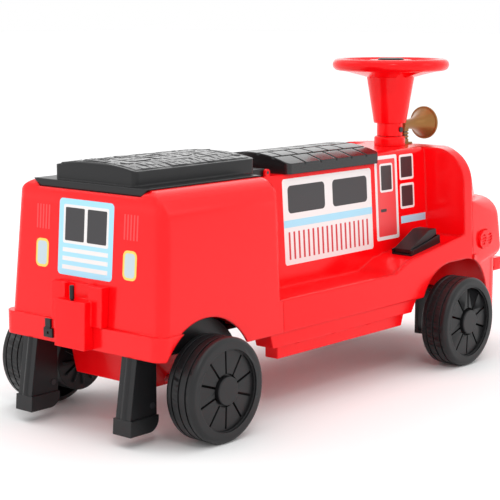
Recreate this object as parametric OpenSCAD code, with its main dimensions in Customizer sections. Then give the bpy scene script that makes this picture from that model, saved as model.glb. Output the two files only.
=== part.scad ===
// Electric ride-on train for a small child, with a lift-up seat, steered front wheels and a foot pedal.
// Millimetres. +X is forward, +Y is the rider's left, +Z is up, and the ground is at Z = 0.

/* [Overall] */
// Length from the rear coupler to the front bumper
overall_length = 910; // [880:1:960]
// Distance between the axles
wheelbase = 595.5; // [582:0.5:609]
// Distance from the rear end to the rear axle
tail_to_axle = 111.5; // [107:0.5:117]
// Width over the outer wheel faces
track_width = 385; // [380:1:396]

/* [Wheels] */
// Wheel diameter
wheel_d = 146; // [140:1:150]
// Wheel width
wheel_w = 50; // [44:1:52]
// Diameter of the opening in the rim
rim_d = 114; // [106:1:118]
// Diameter of the hub cap
hub_cap_d = 40; // [34:1:46]
// Number of spoke blades
spoke_count = 10; // [8:1:12]
// Number of tread grooves
groove_count = 3; // [2:1:4]
// Diameter of the axles
axle_d = 10; // [8:0.5:12]

/* [Body shell] */
// Body width at the skirt
body_w = 310; // [302:1:316]
// Height of the skirt's lower edge
skirt_z = 121; // [118:1:126]
// Shell thickness
wall = 3; // [2:0.25:4]
// Height of the rear box
box_top_z = 344; // [340:1:350]
// Length of the rear box at the skirt
box_length = 249; // [242:0.5:256]
// Corner radius at the rear of the box
box_corner_r = 16; // [12:1:22]
// Radius of the box's upper side edges
box_top_r = 42; // [34:1:46]
// Corner radius at the front of the box
box_front_r = 10; // [6:1:12]
// Radius of the rear wheel arch
rear_arch_r = 95; // [88:1:98]
// Radius of the front wheel arch's ends
front_arch_r = 95; // [90:1:97]
// Height of the bumper band
bumper_h = 33; // [26:1:38]

/* [Cab and nose] */
// Height of the cab roof
roof_z = 350; // [346:1:356]
// Radius of the cab's roof edges
roof_r = 58; // [48:1:62]
// Distance from the front axle to the back of the cab
cab_ahead = 44; // [40:1:48]
// Depth of the cab's hoop
hoop_l = 23; // [19:1:27]
// Width of the centre tunnel at the roof
tunnel_w = 130; // [120:1:136]
// Height of the chin's lower edge
chin_z = 62; // [56:1:72]

/* [Footboards] */
// Height of the sill
sill_z = 168; // [164:1:172]
// Height of the footboard at the cab
foot_z = 208.5; // [202:0.5:214]

/* [Seat] */
// Width of the seat's flange
flange_w = 200; // [190:1:204]
// Thickness of the seat's flange
flange_t = 10.6; // [8:0.2:11]
// Length of the raised seat
seat_l = 245; // [230:1:248]
// Width of the raised seat
seat_w = 160; // [140:1:166]
// Height of the raised seat's edge above its flange
seat_h = 20; // [16:1:26]
// Rise of the seat's crown
seat_crown = 8; // [5:0.5:12]
// Length of the black cover in front of the seat
cover_l = 233; // [215:1:236]
// Width of the black cover
cover_w = 150; // [144:1:156]

/* [Steering] */
// Diameter of the steering wheel
steering_d = 197; // [180:1:205]
// Thickness of the steering wheel's rim
rim_t = 20; // [16:1:24]
// Height of the steering wheel's rim centre
steering_z = 487; // [477:1:497]
// Distance of the steering column from the front axle
column_ahead = 35.5; // [33:0.5:38]
// Length of the steering arms
arm_l = 40; // [38:0.5:42]
// Distance between the kingpins
kingpin_span = 248; // [244:1:250]

/* [Horn] */
// Diameter of the horn's mouth
horn_d = 57; // [48:1:60]
// Length of the horn's bell
horn_l = 56; // [50:1:60]

/* [Pedal] */
// Length of the pedal's tray
pedal_l = 84; // [78:1:88]
// Width of the pedal's tray
pedal_w = 38; // [34:1:42]
// Height of the pedal's crest
pedal_h = 28; // [26:1:32]

/* [Hidden] */
$fn = 96;
hull_fn = 32;

// Colours
red = "#e8141c";
black = "#2c2c2e";
steel = "#b8bcc0";
bronze = "#8a6a30";

// Working allowances
overrun = 1;
thin = 0.5;
running_gap = 0.05;
seat_gap = 0.3;
joint_gap = 0.1;
moving_gap = 0.6;

// Main stations
x_tail = -overall_length / 2;
x_nose = overall_length / 2;
axle_z = wheel_d / 2;
axle_r = axle_d / 2;
x_rear_axle = x_tail + tail_to_axle;
x_front_axle = x_rear_axle + wheelbase;
wheel_face = track_width / 2;
wheel_back = wheel_face - wheel_w;

// Slopes of the moulded walls, as shares of height
side_draft_share = 0.05;
rear_draft_share = 0.07;
tunnel_draft_share = 0.0645;

// Rear box
coupler_reach = 23.5;
bumper_proud = 6.5;
bumper_side = 3;
bumper_corner = box_corner_r + bumper_side;
x_box_rear = x_tail + coupler_reach;
x_box_front = x_box_rear + box_length;
x_bumper = x_box_rear - bumper_proud;
arch_reach = 24;
ledge_t = 5;

// Seat opening
channel_drop = 10;
channel_flare = 12;
seat_setback = 18.5;
tongue_gap = 29.5;
tongue_w = 118;
flange_rim = 9;
hinge_r = 2.5;
ear_t = 5;
ear_gap = 0.5;
bin_margin = 9;
bin_front_in = 20;
bin_rim = 6;
bin_rim_t = 2;
bin_wall = 2.5;
bin_depth = 140;
bin_rib_h = 60;
channel_z = box_top_z - channel_drop;
x_seat = x_box_rear + seat_setback;
x_block = x_seat + flange_rim;
x_flange_front = x_box_front;
flange_z = channel_z + seat_gap;
z_hinge = flange_z + flange_t / 2;
flare_share = channel_flare / channel_drop;
block_z = flange_z + flange_t;
x_bin = x_block + bin_margin;
bin_l = x_box_front - bin_front_in - x_bin;
bin_w = seat_w - bin_margin;
bin_floor_z = channel_z - bin_depth;

// Cab, tunnel and nose
x_hoop = x_front_axle + cab_ahead;
x_seam = x_hoop + hoop_l;
windscreen_r = 35;
brow_ahead = 21;
brow_half = 72;
brow_drop = 35;
cowl_ahead = 67;
cowl_half = 75;
cowl_drop = 117;
bonnet_r = 40;
bonnet_back = 10;
bonnet_half = 100;
bonnet_drop = 128;
lip_r = 20;
lip_half = 117;
lip_drop = 178;
nose_back = 10;
chin_r = 42;
chin_back = 15;
chin_half = 95;
front_arch_shift = 20.5;
front_arch_run = 39;
brow_z = roof_z - brow_drop;
cowl_z = roof_z - cowl_drop;
bonnet_z = roof_z - bonnet_drop;
lip_z = roof_z - lip_drop;
x_brow = x_seam + brow_ahead;
x_cowl = x_seam + cowl_ahead;
x_face = x_nose - nose_back;
x_chin = x_nose - chin_back;

// Footboards
ramp_back = 199;
ramp_run = 41;
ramp_rise = 16.5;
lip_h = 4;
lip_w = 7;
x_ramp = x_hoop - ramp_back;
sill_line = [
  [x_box_front, sill_z],
  [x_ramp, sill_z],
  [x_ramp + ramp_run, sill_z + ramp_rise],
  [x_hoop, foot_z]
];
foot_slope_share = (foot_z - sill_z - ramp_rise) / (x_hoop - x_ramp - ramp_run);

// Black cover over the tunnel, and the seat's hinge behind it
cover_gap = 1;
cover_back = 140;
cover_edge_h = 16;
cover_crown = 14;
cover_wall = 4;
brick_rows = 5;
bricks_per_row = 6;
mortar_w = 4;
mortar_depth = 2.4;
x_cover_front = x_hoop - cover_back;
x_cover_rear = x_cover_front - cover_l;
x_tongue_front = x_cover_rear - tongue_gap;
x_hinge = x_tongue_front - flange_t / 2;
cover_crown_r = (cover_w * cover_w / 4 + cover_crown * cover_crown) / (2 * cover_crown);
cover_top_z = channel_z + cover_edge_h + cover_crown;

// Underside
plate_t = 3;
strip_half = 80;
rail_h = 21.5;
rail_low_h = 20;
rail_in = 5;
rail_w = 33;
rail_step = 9;
rail_rear_out = 24.5;
rail_front_gap = 93;
rail_rear_slope = 7;
rail_front_slope = 14;
rail_low_in = 20;
rail_low_front_in = 9;
housing_l = 60;
housing_ahead = 30;
housing_half = 75;
housing_flare = 17;
housing_drop = 10;
boss_r = 8;
plate_boss_h = 25;
plate_boss_y = 60;
rail_boss_r = 6;
rail_screw_n = 4;
rail_screw_in = 40;
x_rail_rear = x_box_front - rail_rear_out;
x_rail_front = x_front_axle - rail_front_gap;
rail_y = body_w / 2 - rail_in;
rail_step_z = skirt_z - rail_h;
rail_screw_y = rail_y - rail_step / 2;
rail_screw_x0 = x_box_front + rail_screw_in;
rail_screw_x1 = x_rail_front - rail_screw_in;
plate_boss_xs = [
  x_box_rear + wall + boss_r - overrun,
  x_box_front - wall - boss_r + overrun
];

// Steering gear
kingpin_r = 5;
knuckle_r = 11;
fork_t = 4;
fork_below = 29;
fork_low_z = axle_z - fork_below;
fork_high_z = skirt_z - wall;
beam_half_l = 18;
beam_half = 101;
beam_h = 20;
web_t = 6;
fork_r = 13;
arm_below = 22;
arm_z = fork_high_z - arm_below;
arm_t = 7;
arm_r = 7;
link_pin_r = 3;
tie_t = 4;
crank_gap = 1.2;
crank_t = 6;
shaft_r = 6;
shaft_bush = 12;
boss_spread = 11;
boss_y = 84;
kingpin_y = kingpin_span / 2;
x_column = x_front_axle + column_ahead;
x_link = x_front_axle + arm_l;
x_crank = x_column + arm_l;
tie_z = arm_z + arm_t + seat_gap;
crank_z = tie_z + tie_t + crank_gap;

// Steering wheel and collar
collar_r = 26.5;
collar_h = 16;
neck_r = 22;
neck_h = 22;
cone_low_r = 27.5;
cone_top_r = 40.5;
cone_h = 78;
hub_top_r = 35;
hub_rise = 8;
spoke_w = 30;
spoke_t = 11;
spoke_n = 3;
button_r = 22;
button_h = 13;
button_travel = 3;
button_proud = 3;
shaft_grip = 70;
bolt_r = 2.5;
bolt_head_r = 4.5;
bolt_head_t = 2.5;
neck_z = roof_z + collar_h + moving_gap;
cone_z = neck_z + neck_h;
hub_z = cone_z + cone_h;
hub_top_z = steering_z + hub_rise;
steering_r = steering_d / 2 - rim_t / 2;

// Horn
horn_up = 33;
horn_ahead = 104;
throat_r = 8.5;
horn_wall = 1.8;
horn_steps = 10;
horn_flare_share = 2.4;
horn_tail = 14;
horn_post_w = 14;
horn_post_l = 12;
horn_foot_l = 24;
horn_foot_w = 22;
horn_foot_t = 3;
horn_z = roof_z + horn_up;
x_horn = x_column + horn_ahead;
x_throat = x_horn - horn_l;

// Pedal, in its own tilted frame on the right footboard
pedal_ahead = 32;
pedal_in = 44;
tray_wall = 2.5;
tray_floor = 2.5;
tray_rear_h = 9;
tray_front_h = 14;
pedal_side_gap = 0.6;
pedal_front_gap = 2.5;
pedal_pin_r = 2;
pedal_pin_in = 7;
pedal_pin_up = 5.6;
pedal_nose_l = 20;
pedal_skin = 2.5;
pedal_lift = 13;
switch_l = 18;
switch_w = 12;
switch_h = 11;
switch_in = 46;
pedal_y = pedal_in - body_w / 2;
pedal_tilt = atan(foot_slope_share);
x_pedal = x_ramp + ramp_run + pedal_ahead;
z_pedal = floor_at(x_pedal);

// Legs behind the rear wheels
leg_y = 99;
leg_w = 34;
foot_l = 54;
foot_h = 22;
foot_clear = 17;
foot_toe_r = 18;
leg_in = 3;
leg_rear_lean = 13;
leg_front_in = 1;
leg_rib_r = 6;
leg_rib_out = 2.5;
screw_r = 2;
screw_head_r = 4;
screw_head_t = 1.6;
screw_l = 9;
leg_screw_in = 9;
leg_screw_up = 14;
x_foot = x_tail + overrun;

// Coupler and charging socket
coupler_half = 30;
coupler_h = 66;
coupler_draft = 2;
coupler_base_z = skirt_z + overrun;
block_top = coupler_base_z + coupler_h;
pad_half = 50;
pad_top = 88;
pad_proud = 4;
pocket_half = 23;
draw_pin_r = 3.3;
draw_pin_foot_r = 2.4;
draw_pin_relief = 2;
draw_pin_h = 21;
draw_pin_sunk = 10;
draw_pin_in = 7;
socket_w = 18;
socket_h = 13;
socket_t = 3;
socket_y = 59;
socket_up = 6;
jack_r = 1.9;
cover_flap_w = 11;
cover_flap_h = 12;
flap_pin_r = 1;

// Half width of the drafted body at a height
function half_at(z) = body_w / 2 - side_draft_share * (z - skirt_z);
// Station of the box's rear face at a height
function rear_at(z) = x_box_rear + rear_draft_share * (z - skirt_z);
// Station of the coupler's back at a height
function back_at(z) = rear_at(z) - joint_gap;
// Length of a sloped face's normal for one unit across
function lean(share) = sqrt(1 + share * share);
// Height of the sloped footboard's floor at a station
function floor_at(x) = sill_z + ramp_rise - lip_h + foot_slope_share * (x - x_ramp - ramp_run);
// Station of one of the rails' screws
function rail_screw_x(k) = rail_screw_x0 + k * (rail_screw_x1 - rail_screw_x0) / (rail_screw_n - 1);
// A line of points moved up or down
function lifted(points, dz) = [for (p = points) [p[0], p[1] + dz]];

// A section in Y and Z, drawn out along X
module along_x(x0, x1) {
  translate([x0, 0, 0])
    rotate([90, 0, 90])
      linear_extrude(x1 - x0)
        children();
}

// A profile in X and Z, drawn out along Y
module across_y(y0, y1) {
  translate([0, y1, 0])
    rotate([90, 0, 0])
      linear_extrude(y1 - y0)
        children();
}

// A round bar along Y
module bar_y(x, z, y0, y1, r) {
  across_y(y0, y1)
    translate([x, z])
      circle(r = r);
}

// A rectangle with round corners
module round_rect(x0, x1, y0, y1, r) {
  translate([x0 + r, y0])
    square([x1 - x0 - 2 * r, y1 - y0]);
  translate([x0, y0 + r])
    square([x1 - x0, y1 - y0 - 2 * r]);
  for (x = [x0 + r, x1 - r], y = [y0 + r, y1 - r])
    translate([x, y])
      circle(r = r);
}

// A section with drafted sides and round upper corners, set in from its outline
module drafted_arch(base_half, draft, z_base, z_low, z_top, r, inset) {
  corner_z = z_top - r;
  corner_y = base_half - draft * (corner_z - z_base) - r * lean(draft);
  inner_r = r - inset;
  touch_y = corner_y + inner_r * cos(atan(draft));
  touch_z = corner_z + inner_r * sin(atan(draft));
  low_y = touch_y + draft * (touch_z - z_low);
  polygon([
    [-low_y, z_low], [low_y, z_low], [touch_y, touch_z],
    [corner_y, corner_z + inner_r], [-corner_y, corner_z + inner_r], [-touch_y, touch_z]
  ]);
  for (side = [-1, 1])
    translate([side * corner_y, corner_z])
      circle(r = inner_r);
}

// The cab's cross-section
module cab_section(inset, z_low) {
  drafted_arch(body_w / 2, side_draft_share, skirt_z, z_low, roof_z, roof_r, inset);
}

// The centre tunnel's cross-section
module tunnel_section(inset, z_low) {
  drafted_arch(tunnel_w / 2, tunnel_draft_share, roof_z, z_low, roof_z, box_front_r, inset);
}

// The skirt's cross-section between two heights
module skirt_section(inset, z_low, z_high) {
  polygon([
    [inset - half_at(z_low), z_low], [half_at(z_low) - inset, z_low],
    [half_at(z_high) - inset, z_high], [inset - half_at(z_high), z_high]
  ]);
}

// The rear box, drafted and round-cornered, set in from its outline
module box_form(inset, z_low, z_top) {
  rear_r = box_corner_r;
  front_r = box_front_r;
  intersection() {
    along_x(x_tail, x_box_front + overrun)
      drafted_arch(body_w / 2, side_draft_share, skirt_z, z_low, box_top_z, box_top_r, inset);
    hull()
      for (side = [-1, 1]) {
        translate([rear_at(z_low) + rear_r, side * (half_at(z_low) + joint_gap - rear_r), z_low])
          cylinder(r = rear_r - inset, h = thin, $fn = hull_fn);
        translate([x_box_front - front_r, side * (half_at(z_low) + joint_gap - front_r), z_low])
          cylinder(r = front_r - inset, h = thin, $fn = hull_fn);
        translate([
          rear_at(z_top - rear_r) + rear_r * lean(rear_draft_share),
          side * (half_at(z_top - rear_r) + joint_gap - rear_r * lean(side_draft_share)),
          z_top - rear_r
        ])
          sphere(r = rear_r - inset, $fn = hull_fn);
        translate([
          x_box_front - front_r,
          side * (half_at(z_top - front_r) + joint_gap - front_r * lean(side_draft_share)),
          z_top - front_r
        ])
          sphere(r = front_r - inset, $fn = hull_fn);
      }
  }
}

// The rear bumper band in plan
module bumper_plan(inset) {
  x_end = x_rear_axle - rear_arch_r / 2;
  half = body_w / 2 + bumper_side;
  intersection() {
    round_rect(x_bumper + inset, x_end + bumper_corner, inset - half, half - inset, bumper_corner - inset);
    translate([x_bumper, -body_w])
      square([x_end - x_bumper, 2 * body_w]);
  }
}

// Both rear wheel arches, as cutters
module rear_arches() {
  for (side = [-1, 1])
    bar_y(
      x_rear_axle, axle_z,
      side > 0 ? body_w / 2 - arch_reach : -body_w,
      side > 0 ? body_w : arch_reach - body_w / 2,
      rear_arch_r
    );
}

// Both front wheel arches, as cutters
module front_arches() {
  x_mid = x_front_axle + front_arch_shift;
  for (side = [-1, 1])
    across_y(
      side > 0 ? body_w / 2 - arch_reach : -body_w,
      side > 0 ? body_w : arch_reach - body_w / 2
    ) {
      for (end = [-1, 1])
        translate([x_mid + end * front_arch_run / 2, axle_z])
          circle(r = front_arch_r);
      translate([x_mid - front_arch_run / 2, 0])
        square([front_arch_run, axle_z + front_arch_r]);
    }
}

// Rear box with its bumper band, open below and channelled above for the seat
module rear_body() {
  rim_gap = bin_rim + seat_gap;
  color(red)
    difference() {
      union() {
        difference() {
          union() {
            box_form(0, skirt_z, box_top_z);
            along_x(x_rear_axle, x_box_front)
              skirt_section(0, skirt_z, sill_z);
            translate([0, 0, skirt_z])
              linear_extrude(bumper_h)
                bumper_plan(0);
          }
          box_form(wall, skirt_z - overrun, channel_z - ledge_t);
        }
      }
      along_x(x_tail, x_box_front + overrun)
        polygon([
          [-flange_w / 2 - overrun, channel_z], [flange_w / 2 + overrun, channel_z],
          [flange_w / 2 + overrun + channel_flare, box_top_z + overrun],
          [-flange_w / 2 - overrun - channel_flare, box_top_z + overrun]
        ]);
      // Opening for the bin, and the rebate for its rim
      translate([x_bin - seat_gap, -bin_w / 2 - seat_gap, bin_floor_z])
        cube([bin_l + 2 * seat_gap, bin_w + 2 * seat_gap, bin_depth + overrun]);
      translate([x_bin - rim_gap, -bin_w / 2 - rim_gap, channel_z - bin_rim_t])
        cube([bin_l + 2 * rim_gap, bin_w + 2 * rim_gap, bin_rim_t + overrun]);
      rear_arches();
    }
  // Bosses that hold the floor plate
  color(red)
    for (side = [-1, 1], x = plate_boss_xs)
      screw_boss(x, side * plate_boss_y, boss_r, skirt_z + plate_t, plate_boss_h);
}

// One boss with a blind hole for a screw
module screw_boss(x, y, r, z, h) {
  translate([x, y, z])
    difference() {
      cylinder(r = r, h = h);
      translate([0, 0, -overrun])
        cylinder(r = screw_r, h = screw_l + overrun);
    }
}

// Footboards with their raised sill
module sill_form() {
  difference() {
    intersection() {
      across_y(-body_w / 2, body_w / 2)
        polygon(concat(
          [[x_box_front, skirt_z]], sill_line, [[x_seam, foot_z], [x_seam, skirt_z]]
        ));
      along_x(x_box_front, x_seam)
        skirt_section(0, skirt_z, foot_z + overrun);
    }
    across_y(lip_w - half_at(foot_z), half_at(foot_z) - lip_w)
      polygon(concat(
        lifted(sill_line, -lip_h), [[x_hoop, roof_z], [x_box_front, roof_z]]
      ));
  }
}

// The space inside the footboards
module sill_hollow() {
  under = -lip_h - wall;
  intersection() {
    across_y(-body_w / 2, body_w / 2)
      polygon(concat(
        [[x_box_front - overrun, 0], [x_box_front - overrun, sill_z + under]],
        lifted(sill_line, under),
        [[x_seam + overrun, foot_z + under], [x_seam + overrun, 0]]
      ));
    along_x(x_box_front - overrun, x_seam + overrun)
      skirt_section(wall, skirt_z - overrun, foot_z);
  }
}

// Footboards, centre tunnel and the cab's hoop in one moulding
module mid_body() {
  x_step = x_cover_front + cover_gap;
  color(red) {
    difference() {
      union() {
        sill_form();
        along_x(x_box_front, x_seam)
          tunnel_section(0, sill_z - lip_h - wall);
        along_x(x_hoop, x_seam)
          cab_section(0, skirt_z);
      }
      // Seat for the black cover
      translate([x_box_front - overrun, -tunnel_w, channel_z])
        cube([x_step - x_box_front + overrun, 2 * tunnel_w, roof_z]);
      sill_hollow();
      intersection() {
        along_x(x_box_front - overrun, x_seam + overrun)
          tunnel_section(wall, skirt_z);
        union() {
          translate([x_box_front - overrun, -tunnel_w, 0])
            cube([x_seam - x_box_front + 2 * overrun, 2 * tunnel_w, channel_z - wall]);
          translate([x_step + wall, -tunnel_w, 0])
            cube([x_seam - x_step, 2 * tunnel_w, roof_z]);
        }
      }
      along_x(x_hoop + wall, x_seam + overrun)
        cab_section(wall, skirt_z - overrun);
      front_arches();
      translate([x_column, 0, channel_z - wall])
        cylinder(r = shaft_r + moving_gap, h = channel_drop + roof_z - channel_z + wall);
    }
    // Ears that hold the seat's hinge pin
    for (side = [-1, 1])
      hinge_ear(side);
    // Bosses that hold the steering cradle
    for (side = [-1, 1], end = [-1, 1])
      screw_boss(
        x_front_axle + end * boss_spread, side * boss_y, boss_r, fork_high_z + fork_t,
        floor_at(x_front_axle + end * boss_spread) - wall / 2 - fork_high_z - fork_t
      );
    // Bosses that hold the rails
    for (side = [-1, 1], k = [0 : rail_screw_n - 1])
      screw_boss(rail_screw_x(k), side * rail_screw_y, rail_boss_r, skirt_z, plate_boss_h);
  }
}

// One ear of the seat hinge, on top of the tunnel
module hinge_ear(side) {
  inner = tongue_w / 2 + ear_gap;
  outer = inner + ear_t;
  across_y(side > 0 ? inner : -outer, side > 0 ? outer : -inner)
    difference() {
      union() {
        translate([x_hinge, z_hinge])
          circle(r = flange_t / 2);
        translate([x_hinge - flange_t / 2, channel_z])
          square([flange_t, z_hinge - channel_z]);
      }
      translate([x_hinge, z_hinge])
        circle(r = hinge_r);
    }
}

// Cab front: roof edge and windscreen slope
module cab_front(inset, x_back) {
  hull() {
    along_x(x_back, x_back + thin)
      cab_section(inset, cowl_z);
    for (side = [-1, 1]) {
      translate([x_brow, side * brow_half, brow_z])
        sphere(r = windscreen_r - inset, $fn = hull_fn);
      translate([x_cowl, side * cowl_half, cowl_z])
        sphere(r = windscreen_r - inset, $fn = hull_fn);
    }
  }
}

// Rounded nose below the windscreen
module nose_form(inset, x_back) {
  low_z = lip_z - lip_r + inset;
  hull() {
    along_x(x_back, x_back + thin)
      skirt_section(inset, low_z, bonnet_z + bonnet_r - inset);
    for (side = [-1, 1]) {
      translate([x_face - bonnet_r, side * bonnet_half, bonnet_z])
        sphere(r = bonnet_r - inset, $fn = hull_fn);
      translate([x_face - lip_r, side * lip_half, lip_z])
        sphere(r = lip_r - inset, $fn = hull_fn);
    }
  }
}

// Chin in plan, below the nose
module chin_plan(inset, x_back) {
  x_round = x_chin - chin_r;
  side_y = chin_half + chin_r - inset;
  back_y = half_at(skirt_z) - inset;
  polygon([[x_back, -back_y], [x_round, -side_y], [x_round, side_y], [x_back, back_y]]);
  translate([x_round, -chin_half])
    square([chin_r - inset, 2 * chin_half]);
  for (side = [-1, 1])
    translate([x_round, side * chin_half])
      circle(r = chin_r - inset);
}

// Places its children in the windscreen's plane, X out of the glass
module on_windscreen() {
  run = x_cowl - x_brow;
  fall = brow_z - cowl_z;
  slope = atan2(run, fall);
  translate([
    (x_brow + x_cowl) / 2 + windscreen_r * cos(slope), 0,
    (brow_z + cowl_z) / 2 + windscreen_r * sin(slope)
  ])
    rotate([0, -slope, 0])
      children();
}

// Windscreen pane's outline, with a margin round it
pane_h = 84;
pane_half = 84;
pane_r = 14;
pane_sunk = 2.2;
pane_proud = 0.8;
module pane(margin, depth) {
  along_x(-depth, pane_proud)
    round_rect(
      -pane_half - margin, pane_half + margin, -pane_h / 2 - margin, pane_h / 2 + margin, pane_r + margin
    );
}

// Headlamp places
lamp_r = 20;
lamp_y = 70;
lamp_l = 15;
lamp_lens_l = 4;
lamp_bezel = 3;
lamp_bezel_t = 2.5;
lamp_z = (bonnet_z + lip_z) / 2;
module headlamp_form(side, r) {
  translate([x_face - lamp_l, side * lamp_y, lamp_z])
    rotate([0, 90, 0])
      cylinder(r = r, h = lamp_l + lamp_lens_l);
}

// Oval side lamp places
oval_run = 15;
oval_r = 15;
oval_t = 9;
oval_ahead = 43;
oval_z = 194;
oval_turn = 5;
oval_in = 6;
module on_side(side) {
  translate([x_seam + oval_ahead, side * (half_at(oval_z) - oval_in), oval_z])
    rotate([0, 0, -side * oval_turn])
      rotate([90, 0, 0])
        mirror([0, 0, side > 0 ? 1 : 0])
          children();
}

module oval_form(margin, depth) {
  linear_extrude(depth)
    oval_outline(margin);
}

module oval_outline(margin) {
  for (end = [-1, 1])
    translate([end * oval_run / 2, 0])
      circle(r = oval_r + margin);
  translate([-oval_run / 2, -oval_r - margin])
    square([oval_run, 2 * (oval_r + margin)]);
}

// Front moulding: roof edge, windscreen frame, nose and chin
module nose_cap() {
  color(red)
    difference() {
      union() {
        cab_front(0, x_seam);
        nose_form(0, x_seam);
        translate([0, 0, chin_z])
          linear_extrude(lip_z - chin_z)
            chin_plan(0, x_seam);
      }
      // Everything behind the seam belongs to the hoop
      translate([x_seam - overall_length, -body_w, 0])
        cube([overall_length, 2 * body_w, 2 * roof_z]);
      cab_front(wall, x_seam - overrun);
      nose_form(wall, x_seam - overrun);
      translate([0, 0, chin_z - overrun])
        linear_extrude(lip_z - chin_z)
          chin_plan(wall, x_seam - overrun);
      on_windscreen()
        pane(seat_gap / 2, pane_sunk);
      for (side = [-1, 1]) {
        headlamp_form(side, lamp_r + seat_gap / 2);
        on_side(side)
          translate([0, 0, -oval_t])
            oval_form(0, 2 * oval_t);
      }
      front_arches();
    }
}

// Dark pane let into the front slope
module windscreen() {
  color("#1d1f22")
    on_windscreen()
      pane(0, pane_sunk);
}

// Bumper bar across the chin
bar_h = 22;
bar_up = 7;
bar_z = skirt_z + bar_up;
bar_half = 128;
bar_r = 9;
module front_bumper() {
  color(red)
    difference() {
      translate([0, 0, bar_z])
        linear_extrude(bar_h)
          intersection() {
            round_rect(x_chin - chin_r, x_nose, -bar_half, bar_half, bar_r);
            translate([x_chin - chin_r + bar_r, -body_w])
              square([overall_length, 2 * body_w]);
          }
      translate([0, 0, bar_z - overrun])
        linear_extrude(bar_h + 2 * overrun)
          chin_plan(-joint_gap, x_seam);
    }
}

module headlamp(side) {
  headlamp_form(side, lamp_r);
  translate([x_face, side * lamp_y, lamp_z])
    rotate([0, 90, 0])
      cylinder(r = lamp_r + lamp_bezel, h = lamp_bezel_t);
}

module headlamp_left() { color("#e9e4c8") headlamp(1); }
module headlamp_right() { color("#e9e4c8") headlamp(-1); }

// Oval side lamp with two round ribbed lenses
module side_lamp(side) {
  lens_r = 9.5;
  lens_depth = 2;
  rib_n = 3;
  rib_step = 5;
  rib_w = 1.6;
  lens_out_share = 0.7;
  sunk = oval_t / 3;
  on_side(side)
    difference() {
      translate([0, 0, -sunk])
        oval_form(0, oval_t);
      for (end = [-1, 1])
        translate([end * oval_run * lens_out_share, 0, oval_t - sunk - lens_depth])
          difference() {
            cylinder(r = lens_r, h = lens_depth + overrun);
            for (k = [0 : rib_n - 1])
              translate([-lens_r, (k - (rib_n - 1) / 2) * rib_step - rib_w / 2, 0])
                cube([2 * lens_r, rib_w, lens_depth]);
          }
    }
}

module side_lamp_left() { color(red) side_lamp(1); }
module side_lamp_right() { color(red) side_lamp(-1); }

// Coupling block with a pocket above it
module rear_coupler() {
  pad_top_z = skirt_z + pad_top;
  band_z = skirt_z + bumper_h;
  x_pad = x_bumper - pad_proud;
  color(red)
    difference() {
      union() {
        across_y(-coupler_half, coupler_half)
          polygon([
            [x_tail, coupler_base_z], [x_bumper, coupler_base_z],
            [x_bumper, band_z], [back_at(band_z), band_z],
            [back_at(block_top), block_top], [x_tail + coupler_draft, block_top]
          ]);
        across_y(-pad_half, pad_half)
          polygon([
            [x_pad, band_z], [back_at(band_z), band_z],
            [back_at(pad_top_z), pad_top_z], [x_pad + coupler_draft, pad_top_z]
          ]);
      }
      // Pocket over the block
      translate([x_tail, -pocket_half, block_top])
        cube([rear_at(block_top) - x_tail - wall, 2 * pocket_half, pad_top]);
      // Hole for the draw pin
      translate([x_tail + draw_pin_in, 0, block_top - draw_pin_sunk])
        cylinder(r = draw_pin_foot_r, h = draw_pin_sunk + overrun);
    }
}

// Upright pin over which a trailer's eye drops, on a foot sunk in the block
module draw_pin() {
  foot_h = draw_pin_sunk + draw_pin_relief;
  body_h = draw_pin_h - draw_pin_relief;
  edge_r = draw_pin_r / 2;
  color(black)
    translate([x_tail + draw_pin_in, 0, block_top - draw_pin_sunk])
      rotate_extrude() {
        square([draw_pin_foot_r, foot_h + overrun]);
        translate([0, foot_h]) {
          square([draw_pin_r, body_h - edge_r]);
          square([draw_pin_r - edge_r, body_h]);
          translate([draw_pin_r - edge_r, body_h - edge_r])
            intersection() {
              circle(r = edge_r);
              square(edge_r);
            }
        }
      }
}

// Charging socket let onto the bumper band
module charge_socket() {
  z_low = skirt_z + socket_up;
  color(black)
    difference() {
      translate([x_bumper - socket_t, socket_y - socket_w / 2, z_low])
        cube([socket_t, socket_w, socket_h]);
      translate([x_bumper - socket_t - overrun, socket_y, z_low + socket_h / 2])
        rotate([0, 90, 0])
          cylinder(r = jack_r, h = socket_t + 2 * overrun);
    }
}

// Dust cover of the socket, folded up on its hinge
module socket_cover() {
  z_pin = skirt_z + socket_up + socket_h + seat_gap + flap_pin_r;
  color(black) {
    translate([x_bumper - socket_t, socket_y - cover_flap_w / 2, z_pin])
      cube([socket_t - seat_gap, cover_flap_w, cover_flap_h]);
    bar_y(
      x_bumper - socket_t, z_pin, socket_y - cover_flap_w / 2, socket_y + cover_flap_w / 2, flap_pin_r
    );
  }
}

// Floor of the rear box, which carries the axle housing, gearbox and legs
module chassis_plate() {
  gap = wall + seat_gap;
  x_back = x_box_rear + gap;
  wide_half = body_w / 2 - arch_reach;
  color(black)
    translate([0, 0, skirt_z])
      linear_extrude(plate_t) {
        translate([x_back, -wide_half])
          square([x_rear_axle + housing_ahead - x_back, 2 * wide_half]);
        translate([x_back, -strip_half])
          square([x_box_front - gap - x_back, 2 * strip_half]);
      }
}

// Red housing that carries the rear axle
module axle_housing() {
  low_z = axle_z - housing_drop;
  x_back = x_rear_axle - housing_ahead;
  top_half = housing_half + housing_flare;
  color(red)
    difference() {
      along_x(x_back, x_back + housing_l)
        polygon([
          [-housing_half, low_z], [housing_half, low_z], [top_half, skirt_z], [-top_half, skirt_z]
        ]);
      along_x(x_back + wall, x_back + housing_l - wall)
        polygon([
          [wall - housing_half, low_z + 2 * wall + axle_d], [housing_half - wall, low_z + 2 * wall + axle_d],
          [top_half - 2 * wall, skirt_z + overrun], [2 * wall - top_half, skirt_z + overrun]
        ]);
      bar_y(x_rear_axle, axle_z, -body_w, body_w, axle_r);
    }
}

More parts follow.
